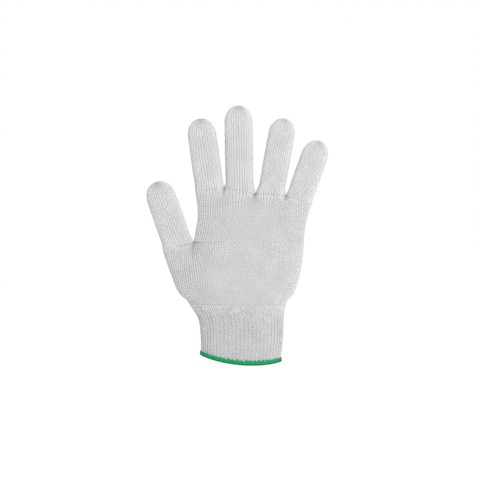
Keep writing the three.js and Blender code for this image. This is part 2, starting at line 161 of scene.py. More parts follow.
def read_sections(rows, height):
    """A smooth curve through the rows of a table, whose first column is the height."""
    table = np.array(rows, float)
    last = len(table) - 1
    low = int(np.clip(np.searchsorted(table[:, 0], height) - 1, 0, last - 1))

    def row(k):
        return table[min(max(k, 0), last)]

    span = table[low + 1, 0] - table[low, 0]
    up = min(max((height - table[low, 0]) / span, 0), 1)
    slopes = [(row(k + 1) - row(k - 1)) / (row(k + 1)[0] - row(k - 1)[0]) * span for k in (low, low + 1)]
    between = table[low] + (table[low + 1] - table[low]) * (3 * up**2 - 2 * up**3)
    return between + slopes[0] * up * (1 - up) ** 2 - slopes[1] * (1 - up) * up**2


def along_of(tilt):
    """The direction along a digit that tilts by some degrees towards the little finger."""
    return np.array([math.sin(math.radians(tilt)), 0, math.cos(math.radians(tilt))])


def across_of(tilt):
    """The direction across such a digit, towards the little finger."""
    return np.array([math.cos(math.radians(tilt)), 0, -math.sin(math.radians(tilt))])


def smooth(run, low, high):
    """From 0 at low to 1 at high, without a kink."""
    share = np.clip((run - low) / (high - low), 0, 1)
    return share * share * (3 - 2 * share)


def half_oval(left, right, outward, depth, count):
    """Evenly spaced points from one side of the glove to the other, over its front or its back."""
    turn = np.linspace(0, math.pi, OVAL_POINTS)
    sideways = -np.sign(np.cos(turn)) * np.abs(np.cos(turn)) ** (2 / ROUNDNESS)
    out = np.abs(np.sin(turn)) ** (2 / ROUNDNESS)
    middle = (left + right) / 2
    line = middle + sideways[:, None] * (right - middle) + out[:, None] * outward * depth
    run = np.concatenate([[0], np.cumsum(np.linalg.norm(np.diff(line, axis=0), axis=1))])
    want = np.linspace(0, run[-1], count + 1)
    return np.stack([np.interp(want, run, line[:, axis]) for axis in range(3)], axis=1)


def oval(left, right, front, back, count):
    """A section: its front and its back, each from the thumb's side to the little finger's."""
    faces = ((FORWARD, front), (BACKWARD, back))
    return np.stack([half_oval(left, right, outward, depth, count) for outward, depth in faces])


def ring_of(section):
    """A section as one ring, over the front and home over the back."""
    return np.concatenate([section[0], section[1][-2:0:-1]])


def place_digits():
    """Each finger's foot runs from crotch to crotch, and the next finger's starts where it ends."""
    corner = np.array([-INDEX_REACH, 0, FINGER_LINE])
    for finger in FINGERS:
        finger["left"] = corner
        corner = corner + across_of(finger["tilt"]) * finger["foot"] - np.array([0, 0, finger["drop"]])
        finger["right"] = corner
    THUMB["right"] = np.array([-THUMB_REACH, -THUMB_FORWARD / 2, THUMB_LINE])
    THUMB["left"] = THUMB["right"] - across_of(THUMB["tilt"]) * THUMB["foot"]
    THUMB["left"][1] = -THUMB_FORWARD


def digit_section(digit, run, count, shrink=1.0):
    """A digit's section some way up from its foot, where its sides ease from the crotches to its width."""
    start = digit["length"] - TIP_ROUND * digit["width"]
    share = run / digit["length"]
    width, depth = read_sections(DIGIT_SECTIONS, run / start)[1:]
    lift = along_of(digit["tilt"]) * run + FORWARD * digit["curl"] * share**2
    across = across_of(digit["tilt"]) * width * digit["width"] * shrink / 2
    centre = (digit["left"] + digit["right"]) / 2 + lift
    ease = smooth(run, 0, ROOT_RUN)
    left = (digit["left"] + lift) * (1 - ease) + (centre - across) * ease
    right = (digit["right"] + lift) * (1 - ease) + (centre + across) * ease
    half_depth = depth * digit["depth"] * shrink / 2
    return oval(left, right, half_depth, half_depth, count)


COURSE = 2.2  # the height of one round of stitches
FINGER_WALES = 16  # columns of stitches to each face of a finger
THUMB_WALES = 17
KNIT_WALL = 1.8  # from the knit's outer to its inner face
LEG_SIDES = 5
LEG_RINGS = (-0.62, 0.0, 0.62)  # along a leg, from one end at -1 to the other at 1
LEG_BLUNTNESS = 0.75  # an ellipse has 1, and less is blunter at the ends
LEG_REACH = 0.72  # half a leg's length, in stitch heights
LEG_OFFSET = 0.22  # how far a leg stands from the middle of its stitch, in stitch widths
LEG_GIRTH = 0.2  # half a leg's breadth, in stitch widths
LEG_HALF_THICKNESS = 0.55
LEG_SINK = 0.45  # how deep the middle of a leg lies under the glove's surface
GROUND_SINK = 0.78  # how deep the closed ground behind the legs lies
SHAKEN_ASIDE = 0.025  # how unevenly the legs lie, in stitch widths
SHAKEN_ALONG = 0.06  # and in stitch heights
SHAKEN_GIRTH = 0.05
SHAKEN_DEPTH = 0.03
STRETCH_LEAN = 0.11  # how far a leg leans over in stretched knit, in stitch widths
DRAWN_REACH = 0.76  # the legs' reach, offset and girth on the digits, where the knit is drawn tight
DRAWN_OFFSET = 0.21
DRAWN_GIRTH = 0.215
OPEN_CENTRE = 0.58  # where the widest gaps lie across a finger
OPEN_SPREAD = 0.24
OPEN_LOSS = 0.29  # how much thinner the legs are drawn there
OPEN_FADE = 0.4  # by how much the gaps have closed at the tip
CLOSED_GAIN = 0.03  # how much plumper the legs are at the sides
DIGIT_UNEVENNESS = 0.05
DIGIT_PATCH = 18  # how far apart thick and thin places in the yarn lie
CROTCH_REACH = 10.0  # how far from a crotch the stitches are pressed together
FINGER_SEED = 31
THUMB_SEED = 41


def rounds(length):
    """How far the rounds of a tube's stitches lie below its top, from the lowest up."""
    return np.linspace(length, 0, round(length / COURSE) + 1)


def digit_grid(digit, count):
    """A digit's rounds from its foot to its tip."""
    start = digit["length"] - TIP_ROUND * digit["width"]
    dome = digit["length"] - start
    rings = [ring_of(digit_section(digit, start - drop, count)) for drop in rounds(start)]
    for angle in np.radians(TIP_ANGLES):
        shrink = math.cos(angle) ** TIP_FULLNESS
        rings.append(ring_of(digit_section(digit, start + dome * math.sin(angle), count, shrink)))
    return np.stack(rings)


def faces_of(grid):
    """The directions across, along and out of a surface at each of its points. A ring closes on itself."""
    across = np.roll(grid, -1, axis=1) - np.roll(grid, 1, axis=1)
    along = np.gradient(grid, axis=0)
    out = np.cross(across, along)
    # near a crotch the ring folds back on itself, so directions are shared with the neighbours
    out = out + np.roll(out, 1, axis=1) + np.roll(out, -1, axis=1)
    return across / 2, along, out / np.maximum(np.linalg.norm(out, axis=2, keepdims=True), 1e-9)


def leg_template():
    """One leg of a stitch as a plump spindle: its points (along, aside, out) and its triangles."""
    points = [(-1, 0, 0)]
    for along in LEG_RINGS:
        girth = math.sqrt(1 - along**2) ** LEG_BLUNTNESS
        for k in range(LEG_SIDES):
            turn = 2 * math.pi * (k + 0.5) / LEG_SIDES
            points.append((along, girth * math.sin(turn), girth * math.cos(turn)))
    points.append((1, 0, 0))
    triangles = []
    last = len(points) - 1
    top = 1 + (len(LEG_RINGS) - 1) * LEG_SIDES
    for k in range(LEG_SIDES):
        after = (k + 1) % LEG_SIDES
        triangles.append((0, 1 + after, 1 + k))
        for r in range(len(LEG_RINGS) - 1):
            low, high = 1 + r * LEG_SIDES, 1 + (r + 1) * LEG_SIDES
            triangles.append((low + k, low + after, high + after))
            triangles.append((low + k, high + after, high + k))
        triangles.append((top + k, top + after, last))
    return np.array(points), np.array(triangles)


LEG_POINTS, LEG_TRIANGLES = leg_template()


def spindles(centres, halves, asides, outs, finish=0):
    """Many legs at once, each given by its centre and three half axes."""
    along, aside, out = LEG_POINTS.T
    points = (
        centres[:, None]
        + halves[:, None] * along[None, :, None]
        + asides[:, None] * aside[None, :, None]
        + outs[:, None] * out[None, :, None]
    )
    shift = np.arange(len(centres))[:, None, None] * len(LEG_POINTS)
    triangles = (LEG_TRIANGLES[None] + shift).reshape(-1, 3)
    finish = np.broadcast_to(finish, len(centres))
    return points.reshape(-1, 3), triangles, np.repeat(finish, len(LEG_TRIANGLES))


def unevenness(centres, size, seed):
    """A smooth, repeatable unevenness, mostly from -1 to 1, which changes over some millimetres."""
    dice = np.random.default_rng(seed)
    total = np.zeros(len(centres))
    waves = 7
    shortest, longest = 0.7, 1.6
    for _ in range(waves):
        direction = dice.normal(size=3)
        direction /= np.linalg.norm(direction)
        pace = 2 * math.pi / (size * dice.uniform(shortest, longest))
        total += np.sin(centres @ direction * pace + dice.uniform(0, 2 * math.pi))
    return total / math.sqrt(waves)


def stitch_legs(
    grid, lean, plump, seed, keep=None, rise=0, offset=LEG_OFFSET, girth=LEG_GIRTH, reach=LEG_REACH, bias=0
):
    """The legs of all stitches on a surface of rings, one V to each cell.

    lean, plump, rise and bias are one number or one for each cell, and keep says which cells to knit. rise
    lifts the legs, and bias makes one leg of each V larger and higher than the other.
    """
    dice = np.random.default_rng(seed)
    across, along, out = faces_of(grid)
    middle = (grid[:-1] + grid[1:]) / 2
    middle = (middle + np.roll(middle, -1, axis=1)) / 2
    wide = (across[:-1] + across[1:]) / 2
    wide = (wide + np.roll(wide, -1, axis=1)) / 2
    tall = grid[1:] - grid[:-1]
    tall = (tall + np.roll(tall, -1, axis=1)) / 2
    facing = (out[:-1] + out[1:]) / 2
    facing = facing + np.roll(facing, -1, axis=1)
    facing /= np.maximum(np.linalg.norm(facing, axis=2, keepdims=True), 1e-9)
    shape = middle.shape[:2]
    lean = np.broadcast_to(lean, shape)
    plump = np.broadcast_to(plump, shape)
    rise = np.broadcast_to(rise, shape)[..., None]
    bias = np.broadcast_to(bias, shape)[..., None]
    # thin legs stay together, so the gap that they leave lies between the columns
    offset = np.minimum(offset, girth * plump)[..., None]
    chosen = np.ones(shape, bool) if keep is None else keep
    sides = []
    for side in (-1, 1):
        shake = dice.normal(0, 1, (*shape, 4))
        centre = middle + wide * (side * offset + SHAKEN_ASIDE * shake[..., :1])
        centre = centre + tall * SHAKEN_ALONG * shake[..., 1:2]
        half = tall * reach + wide * (side * lean[..., None])
        size = plump[..., None] * (1 + SHAKEN_GIRTH * shake[..., 2:3] + side * bias)
        overlap = np.sum(wide * half, 2, keepdims=True)
        length_squared = np.maximum(np.sum(half * half, 2, keepdims=True), 1e-9)
        aside = (wide - half * overlap / length_squared) * girth * size
        thick = facing * LEG_HALF_THICKNESS * size
        centre = centre + facing * (rise - LEG_SINK + side * bias + SHAKEN_DEPTH * shake[..., 3:4])
        sides.append([part[chosen] for part in (centre, half, aside, thick)])
    return [np.concatenate(parts) for parts in zip(*sides)]


def ground(grid, close_tip=False):
    """The cloth behind the legs: an outer and an inner skin, joined along the open edges.

    The outer skin has the piece's second finish, a darker grey that paints the shade in the gaps between the
    stitches, and all else has the first.
    """
    out = faces_of(grid)[2]
    rows, columns = grid.shape[:2]
    skins = [grid - out * GROUND_SINK, grid - out * KNIT_WALL]
    triangles = []
    for skin, shift in ((0, 0), (1, rows * columns)):
        for r in range(rows - 1):
            for c in range(columns):
                here, beside = shift + r * columns + c, shift + r * columns + (c + 1) % columns
                above, above_beside = here + columns, beside + columns
                quad = [(here, beside, above_beside), (here, above_beside, above)]
                triangles += quad if skin == 0 else [face[::-1] for face in quad]
    inner = rows * columns
    last = (rows - 1) * columns
    for c in range(columns):
        here, beside = c, (c + 1) % columns
        triangles += [(beside, here, here + inner), (beside, here + inner, beside + inner)]
        if not close_tip:
            here, beside = here + last, beside + last
            triangles += [(here, beside, beside + inner), (here, beside + inner, here + inner)]
    points = np.concatenate([skin.reshape(-1, 3) for skin in skins])
    if close_tip:
        for skin, shift in ((0, 0), (1, inner)):
            points = np.concatenate([points, skins[skin][-1].mean(axis=0, keepdims=True)])
            top = len(points) - 1
            for c in range(columns):
                here, beside = shift + last + c, shift + last + (c + 1) % columns
                triangles.append((here, beside, top) if skin == 0 else (beside, here, top))
    triangles = np.array(triangles)
    # the round cap that closes a tip is drawn tight, so it is left without the painted shade and is as light
    # as the stitches
    return points, triangles, np.where(np.all(triangles < inner, axis=1), 1, 0)


def snug_ground(grid, close_tip=False):
    """The cloth behind the legs. At the crotches the stitches are pressed together, so the painted shade is
    left off there.
    """
    points, triangles, finish_of = ground(grid, close_tip)
    centres = points[triangles].mean(axis=1)
    crotches = np.array([finger["right"] for finger in FINGERS[:-1]] + [THUMB["right"]])
    near = np.linalg.norm(centres[:, None] - crotches[None], axis=2).min(axis=1) < CROTCH_REACH
    return points, triangles, np.where(near, 0, finish_of)


def make_piece(name, parts, finishes):
    """One mesh from several parts, each of points, triangles and the number of each triangle's finish."""
    points, triangles, finish_of = [], [], []
    start = 0
    for part_points, part_triangles, part_finish in parts:
        points.append(part_points)
        triangles.append(part_triangles + start)
        finish_of.append(part_finish)
        start += len(part_points)
    points = np.concatenate(points) * METRE
    triangles = np.concatenate(triangles)
    mesh = bpy.data.meshes.new(name)
    mesh.vertices.add(len(points))
    mesh.vertices.foreach_set("co", points.ravel())
    mesh.loops.add(triangles.size)
    mesh.loops.foreach_set("vertex_index", triangles.ravel())
    mesh.polygons.add(len(triangles))
    mesh.polygons.foreach_set("loop_start", np.arange(0, triangles.size, 3))
    mesh.polygons.foreach_set("material_index", np.concatenate(finish_of))
    mesh.polygons.foreach_set("use_smooth", np.ones(len(triangles), bool))
    for finish in finishes:
        mesh.materials.append(finish)
    mesh.update()
    mesh.validate()
    piece = bpy.data.objects.new(name, mesh)
    scene.collection.objects.link(piece)
    return piece


COTTON = (0.412, 0.412, 0.422)
# painted shade: the cloth seen in the gaps between the stitches is given a darker grey, standing in for the
# shade that falls there
COTTON_PAINTED_SHADE = (0.27, 0.27, 0.273)
DARK_PLACE = 0.94  # shares of a yarn's colour in its darker and its lighter places
LIGHT_PLACE = 1.05
FIBRE_DEPTH = 0.25


def yarn_finish(name, colour, fuzz, relief):
    """Soft spun yarn: an uneven colour, fine fibres in relief and a faint bloom at glancing angles."""
    finish = bpy.data.materials.new(name)
    finish.use_nodes = True
    tree = finish.node_tree
    shader = tree.nodes["Principled BSDF"]
    shader.inputs["Roughness"].default_value = 0.92
    shader.inputs["Specular IOR Level"].default_value = 0.15
    shader.inputs["Sheen Weight"].default_value = fuzz
    shader.inputs["Sheen Roughness"].default_value = 0.6
    place = tree.nodes.new("ShaderNodeTexCoord")
    tone = tree.nodes.new("ShaderNodeTexNoise")
    tone.inputs["Scale"].default_value = 70.0
    tone.inputs["Detail"].default_value = 5.0
    tone.inputs["Roughness"].default_value = 0.7
    ramp = tree.nodes.new("ShaderNodeValToRGB")
    ramp.color_ramp.elements[0].position = 0.32
    ramp.color_ramp.elements[1].position = 0.68
    ramp.color_ramp.elements[0].color = [c * DARK_PLACE for c in colour] + [1]
    ramp.color_ramp.elements[1].color = [min(c * LIGHT_PLACE, 1) for c in colour] + [1]
    fibres = tree.nodes.new("ShaderNodeTexNoise")
    fibres.inputs["Scale"].default_value = 2600.0
    fibres.inputs["Detail"].default_value = 3.0
    bump = tree.nodes.new("ShaderNodeBump")
    bump.inputs["Strength"].default_value = relief
    bump.inputs["Distance"].default_value = FIBRE_DEPTH * METRE
    tree.links.new(place.outputs["Object"], tone.inputs["Vector"])
    tree.links.new(place.outputs["Object"], fibres.inputs["Vector"])
    tree.links.new(tone.outputs["Fac"], ramp.inputs["Fac"])
    tree.links.new(ramp.outputs["Color"], shader.inputs["Base Color"])
    tree.links.new(fibres.outputs["Fac"], bump.inputs["Height"])
    tree.links.new(bump.outputs["Normal"], shader.inputs["Normal"])
    return finish


def opened_by(across):
    """How far the stitches gape at some shares across a finger's front, from its thumb side on."""
    return np.exp(-(((across - OPEN_CENTRE) / OPEN_SPREAD) ** 2))


def knit_digit(digit, count, seed):
    """One digit, with some columns of stitches to each of its faces."""
    grid = digit_grid(digit, count)
    gather = len(grid) - len(TIP_ANGLES) + TIP_GATHER
    parts = []
    for rings, columns in ((grid[: gather + 1], count), (grid[gather:, ::2], count / 2)):
        middle = rings[:-1]
        across = (np.arange(middle.shape[1]) + 0.5) / columns
        up = np.clip(((middle - digit["left"]) @ along_of(digit["tilt"])) / digit["length"], 0, 1)
        opened = opened_by(across) * (1 - OPEN_FADE * up)
        plump = 1 + CLOSED_GAIN - (OPEN_LOSS + CLOSED_GAIN) * opened
        uneven = unevenness(middle.reshape(-1, 3), DIGIT_PATCH, seed).reshape(plump.shape)
        plump = plump + DIGIT_UNEVENNESS * uneven
        legs = stitch_legs(
            rings, STRETCH_LEAN, plump, seed, offset=DRAWN_OFFSET, girth=DRAWN_GIRTH, reach=DRAWN_REACH
        )
        parts.append(spindles(*legs))
    parts.append(snug_ground(grid, close_tip=True))
    piece = make_piece(digit["name"] + "_knit", parts, [cotton, painted_shade_cotton])
    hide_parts(digit["name"])
    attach(piece, "root")


cotton = yarn_finish("white cotton yarn", COTTON, fuzz=0.08, relief=0.5)
# the second finish is painted shade, a darker grey for the gaps between the stitches
painted_shade_cotton = yarn_finish("painted shade behind the stitches", COTTON_PAINTED_SHADE, fuzz=0.1, relief=0.3)
place_digits()
for number, finger in enumerate(FINGERS):
    knit_digit(finger, FINGER_WALES, FINGER_SEED + number)
knit_digit(THUMB, THUMB_WALES, THUMB_SEED)

# Palm and back: one wide tube of the same knit, from the fingers down to the cuff. It is knitted in rounds
# and takes in the thumb's tube at one side, where it is widest. Below the fingers its stitches are still
# drawn out, and over the palm they lie broad and close.
PALM_BREADTH = 100.0
PALM_DEPTH = 40.0
CUFF_WIDTH = 75.0
CUFF_DEPTH = 47.0
THUMB_ARCH = 30.0  # how far below its crotch the thumb still shows as a tube
FINGER_ARCH = 14.0
THUMB_VALLEY = 0.8  # how broad the valley under a crotch is, in digits
FINGER_VALLEY = 0.3
MOUND_CENTRE = 0.3  # the thumb's ball, in shares of the way across the palm
MOUND_SPREAD = 0.16
PALM_WALES = 12  # to each face of a finger's foot
ROOT_WALES = 13  # to each face of the thumb's root
PALM_LEAN = 0.32  # how far a leg leans over, in stitch widths
STRETCH_RUN = 20.0  # how far below the fingers the stitches are still drawn out
PALM_OPEN_LOSS = 0.7 * OPEN_LOSS
YARN_TWIST = 0.16  # the yarn's twist lets one leg of each stitch stand out more than the other
PALM_UNEVENNESS = 0.06
PALM_PATCH = 24
HEEL_SEED = 11
KNUCKLE_SEED = 12
BACK_SEEDS = 10  # the back's seeds are this much higher

# rise, thumb side, little finger's side, front, back, ribs, slant: shares of the cuff's sizes
CUFF_SECTIONS = [
    (0.00, 0.488, 0.484, 0.485, 0.485, 1.00, 1.00),
    (0.32, 0.494, 0.512, 0.490, 0.490, 1.00, 0.60),
    (0.62, 0.508, 0.522, 0.500, 0.500, 1.00, 0.25),
    (0.79, 0.539, 0.525, 0.505, 0.500, 0.85, 0.08),
    (0.89, 0.580, 0.536, 0.510, 0.495, 0.50, 0.00),
    (1.00, 0.628, 0.556, 0.515, 0.490, 0.00, 0.00),
]
# rise, thumb side, little finger's side, front, back, mound: shares of the heel's length and the palm's sizes
HEEL_SECTIONS = [
    (0.07, 0.497, 0.427, 0.600, 0.565, 0.020),
    (0.14, 0.548, 0.472, 0.595, 0.550, 0.045),
    (0.24, 0.588, 0.500, 0.580, 0.530, 0.085),
    (0.46, 0.634, 0.537, 0.525, 0.480, 0.130),
    (0.72, 0.690, 0.565, 0.475, 0.445, 0.100),
    (1.00, 0.745, 0.577, 0.430, 0.420, 0.030),
]
# rise, thumb side out, little finger's side out, front, back: shares of their length and the palm's sizes
KNUCKLE_SECTIONS = [
    (0.25, -0.017, -0.010, 0.405, 0.410),
    (0.50, -0.031, -0.014, 0.375, 0.395),
    (0.75, -0.021, -0.009, 0.345, 0.370),
    (1.00, 0.000, 0.000, 0.315, 0.335),
]
# across and height as shares of the palm's breadth and the cuff's height, lean, length, breadth, depth
FOLDS = [
    (-0.385, 0.93, -39, 10, 1.4, 2.4),
    (-0.31, 0.60, 4, 15, 4.0, 1.8),
    (0.355, 1.02, 20, 13, 1.6, 2.0),
]

# height, left, right, front, back, ribs, slant, mound, for the cuff and the heel alike
cuff_rows = [
    (rise * CUFF_HEIGHT, -thumb_side * CUFF_WIDTH, little_side * CUFF_WIDTH,
     front * CUFF_DEPTH, back * CUFF_DEPTH, ribs, slant, 0)
    for rise, thumb_side, little_side, front, back, ribs, slant in CUFF_SECTIONS
]
heel_rows = [
    (CUFF_HEIGHT + rise * HEEL_LENGTH, -thumb_side * PALM_BREADTH, little_side * PALM_BREADTH,
     front * PALM_DEPTH, back * PALM_DEPTH, 0, 0, mound * PALM_DEPTH)
    for rise, thumb_side, little_side, front, back, mound in HEEL_SECTIONS
]
lower_rows = cuff_rows + heel_rows
knuckle_rows = [
    (THUMB_LINE + rise * KNUCKLE_LENGTH, thumb_out * PALM_BREADTH, little_out * PALM_BREADTH)
    for rise, thumb_out, little_out, front, back in [(0, 0, 0, 0, 0)] + KNUCKLE_SECTIONS
]
depth_rows = [(row[0], row[3], row[4]) for row in lower_rows] + [
    (THUMB_LINE + rise * KNUCKLE_LENGTH, front * PALM_DEPTH, back * PALM_DEPTH)
    for rise, thumb_out, little_out, front, back in KNUCKLE_SECTIONS
]


def joined(ovals):
    """Sections side by side as one, each starting where the one before it ends."""
    return np.concatenate([ovals[0]] + [one[:, 1:] for one in ovals[1:]], axis=1)


def digits_show(drop, arch_length, crotches, count, total, spread):
    """How much the digits show in a section some way below their crotches, for each of its points."""
    up = min(max(1 - drop / arch_length, 0), 1)
    arch = 1 - math.sqrt(1 - up * up)
    gentle = up * up * (3 - 2 * up)
    places = np.arange(total + 1)
    off = np.min([np.abs(places - crotch) for crotch in crotches], axis=0) / count
    return (gentle + (arch - gentle) * np.exp(-((off / spread) ** 2)))[:, None]


def foot_of(digit, left, right, count):
    """A digit's own section, drawn between two crotches."""
    return oval(left, right, digit["depth"] / 2, digit["depth"] / 2, count)


def below(point, tilt_before, tilt_after, drop):
    """A crotch's place some way down the palm, midway between the two digits' directions."""
    return point - along_of((tilt_before + tilt_after) / 2) * drop


def knuckle_section(drop, count):
    """A section of the knuckles below the finger line, with some stitches to each face of a finger."""
    feet = []
    for i, finger in enumerate(FINGERS):
        before = FINGERS[max(i - 1, 0)]["tilt"]
        after = FINGERS[min(i + 1, len(FINGERS) - 1)]["tilt"]
        left = below(finger["left"], before, finger["tilt"], drop)
        right = below(finger["right"], finger["tilt"], after, drop)
        feet.append(foot_of(finger, left, right, count))
    up = 1 - drop / KNUCKLE_LENGTH
    height, thumb_out, little_out = read_sections(knuckle_rows, FINGER_LINE - drop)
    height, front, back = read_sections(depth_rows, FINGER_LINE - drop)
    left = THUMB["right"] + (FINGERS[0]["left"] - THUMB["right"]) * up
    low_right = np.array([lower_rows[-1][2], 0, THUMB_LINE])
    right = low_right + (FINGERS[-1]["right"] - low_right) * up
    left = left - np.array([thumb_out, 0, 0])
    right = right + np.array([little_out, 0, 0])
    total = count * len(FINGERS)
    whole = oval(left, right, front, back, total)
    crotches = [count * i for i in range(1, len(FINGERS))]
    shown = digits_show(drop, FINGER_ARCH, crotches, count, total, FINGER_VALLEY)
    return whole + (joined(feet) - whole) * shown


def heel_section(drop, thumb_count, palm_count):
    """A section of the heel below the thumb's crotch. It rises less at the thumb's side."""
    height = THUMB_LINE - drop
    up = 1 - drop / HEEL_LENGTH
    front, back = read_sections(depth_rows, height)[1:]
    thumb_height = CUFF_HEIGHT + (THUMB["left"][2] - CUFF_HEIGHT) * up
    left = np.array([read_sections(lower_rows, thumb_height)[1], THUMB["left"][1] * up, thumb_height])
    right = np.array([read_sections(lower_rows, height)[2], 0, height])
    whole = oval(left, right, front, back, thumb_count + palm_count)
    mound = read_sections(lower_rows, height)[7]
    off = (whole[0][:, 0] - left[0]) / (right[0] - left[0]) - MOUND_CENTRE
    whole[0][:, 1] -= mound * np.exp(-((off / MOUND_SPREAD) ** 2))
    outer = below(THUMB["left"], THUMB["tilt"], THUMB["tilt"], drop)
    crotch = below(THUMB["right"], THUMB["tilt"], 0, drop)
    rest = oval(crotch, right, front, back, palm_count)
    parts = joined([foot_of(THUMB, outer, crotch, thumb_count), rest])
    total = thumb_count + palm_count
    shown = digits_show(drop, THUMB_ARCH, [thumb_count], thumb_count, total, THUMB_VALLEY)
    return whole + (parts - whole) * shown


def outwards_of(ring):
    """The level direction that points out of the glove at each point of a ring."""
    step = np.roll(ring, -1, axis=0) - np.roll(ring, 1, axis=0)
    out = np.stack([step[:, 1], -step[:, 0], np.zeros(len(ring))], axis=1)
    return out / np.maximum(np.linalg.norm(out, axis=1, keepdims=True), 1e-6)


def folded(ring):
    """A ring with the folds pressed in where the cuff gathers the cloth."""
    press = np.zeros(len(ring))
    for across, height, lean, length, breadth, depth in FOLDS:
        offset = ring - np.array([across * PALM_BREADTH, 0, height * CUFF_HEIGHT])
        along = offset @ along_of(lean) / length
        aside = offset @ across_of(lean) / breadth
        press += depth * np.exp(-(along**2) - aside**2)
    outwards = outwards_of(ring)
    return ring - outwards * (press * np.clip(-outwards[:, 1], 0, 1))[:, None]


heel_rings = [heel_section(drop, ROOT_WALES, PALM_WALES * len(FINGERS)) for drop in rounds(HEEL_LENGTH)]
heel_grid = np.stack([folded(ring_of(ring)) for ring in heel_rings])
knuckle_grid = np.stack([ring_of(knuckle_section(drop, PALM_WALES)) for drop in rounds(KNUCKLE_LENGTH)])


def palm_legs(front):
    """The legs of the palm's stitches, those of its front or those of its back."""
    parts = []
    for grid, seed in ((heel_grid, HEEL_SEED), (knuckle_grid, KNUCKLE_SEED)):
        columns = grid.shape[1]
        keep = np.zeros((len(grid) - 1, columns), bool)
        half = columns // 2
        keep[:, :half] = front
        keep[:, half:] = not front
        middle = grid[:-1].reshape(-1, 3)
        plump = 1 + PALM_UNEVENNESS * unevenness(middle, PALM_PATCH, seed).reshape(keep.shape)
        stretched = smooth(middle[:, 2], FINGER_LINE - STRETCH_RUN, FINGER_LINE).reshape(plump.shape)
        lean = PALM_LEAN + (STRETCH_LEAN - PALM_LEAN) * stretched
        across = (np.arange(columns) % PALM_WALES + 0.5) / PALM_WALES
        plump = plump - PALM_OPEN_LOSS * opened_by(across) * stretched
        twist = YARN_TWIST * (1 - stretched)
        leg_seed = seed if front else seed + BACK_SEEDS
        parts.append(stitch_legs(grid, lean, plump, leg_seed, keep, bias=twist))
    return spindles(*[np.concatenate(both) for both in zip(*parts)])


palm_parts = [palm_legs(True), snug_ground(heel_grid), snug_ground(knuckle_grid)]
palm = make_piece("palm_knit", palm_parts, [cotton, painted_shade_cotton])
back = make_piece("back_knit", [palm_legs(False)], [cotton])
for piece in (palm, back):
    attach(piece, "root")
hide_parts("palm")

# Cuff: a ribbed wristband, one knit rib and one purled valley in turn, with fine elastic knitted in. It draws
# in round the wrist, and its ribs fade out into the plain knit of the heel.
RIB_COUNT = 56
RIB_RISE = 0.8
CUFF_WALL = 2.0
MOUTH_TILT = 3.0  # how much the mouth hangs lower towards the little finger
MOUTH_LIFT = 4.6  # how much higher it is at its sides than in its middle
MOUTH_RISE = 1.5
RIB_LEAN = 0.16
RIB_OFFSET = 0.23
RIB_GIRTH = 0.225
YARN_SINK = 0.75  # the soft yarn fills a part of a valley's depth
VALLEY_LOSS = 0.04  # how much thinner the legs are in the valleys
CREST_GAIN = 0.06  # and how much plumper on the crests
CUFF_UNEVENNESS = 0.06
CUFF_PATCH = 20
CUFF_SEED = 51
FADE_SEED = 52
RIB_PAINTED_SHADE_COTTON = (0.368, 0.368, 0.374)  # painted shade: a little darker than the palm's yarn, for the shade among the ribs and the light falling off over the cuff


def cuff_ring(height, count):
    """The crests of the cuff's ribs at some height, with the mouth's slant, and how much the ribs show."""
    height, left, right, front, back, ribs, slant = read_sections(cuff_rows, height)[:7]
    section = oval(np.array([left, 0, height]), np.array([right, 0, height]), front, back, count)
    ring = ring_of(section)
    across = (2 * ring[:, 0] - left - right) / (right - left)
    ring[:, 2] += slant * (MOUTH_RISE + MOUTH_LIFT * across**2 - MOUTH_TILT * across)
    return folded(ring), ribs


cuff_rounds = round(CUFF_HEIGHT / COURSE)
cuff_rings = [cuff_ring(height, RIB_COUNT) for height in np.linspace(0, CUFF_HEIGHT, cuff_rounds + 1)]
crests = np.stack([ring for ring, ribs in cuff_rings])
rib_shares = np.array([ribs for ring, ribs in cuff_rings])


def cuff_parts():
    """The cuff's stitches, with every second column of them sunk into a valley, and the cloth behind them."""
    out = faces_of(crests)[2]
    valley = np.arange(crests.shape[1]) % 2 == 1
    sunk = RIB_RISE * rib_shares[:, None] * valley[None, :]
    ribbed = crests - out * sunk[..., None]
    # a stitch is centred on a point of the ring, so its cell runs between the middles of its neighbours
    cells = (crests + np.roll(crests, 1, axis=1)) / 2
    uneven = unevenness(cells[:-1].reshape(-1, 3), CUFF_PATCH, CUFF_SEED).reshape(len(cells) - 1, -1)
    shown = (rib_shares[:-1, None] + rib_shares[1:, None]) / 2
    plump = (1 + CUFF_UNEVENNESS * uneven) * (1 + shown * np.where(valley, -VALLEY_LOSS, CREST_GAIN)[None, :])
    # where the ribs fade out, the knit goes over into that of the palm, here and there a stitch at a time
    plain = np.random.default_rng(FADE_SEED).random(plump.shape) > shown
    legs = stitch_legs(
        cells,
        RIB_LEAN + (PALM_LEAN - RIB_LEAN) * (1 - shown),
        plump,
        CUFF_SEED,
        rise=-YARN_SINK * (sunk[:-1] + sunk[1:]) / 2,
        offset=RIB_OFFSET,
        girth=RIB_GIRTH,
        bias=YARN_TWIST * (1 - shown),
    )
    return [spindles(*legs, np.tile(np.where(plain, 2, 0).ravel(), 2)), ground(ribbed)]


# the ribbed stitches take this painted shade finish, and those where the ribs fade out take the palm's
# lighter cotton
rib_cotton_painted_shade = yarn_finish("white cotton yarn with elastic, painted shade", RIB_PAINTED_SHADE_COTTON, fuzz=0.08, relief=0.5)
cuff = make_piece("rib_cuff_knit", cuff_parts(), [rib_cotton_painted_shade, painted_shade_cotton, cotton])
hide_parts("rib_cuff")
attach(cuff, "root")

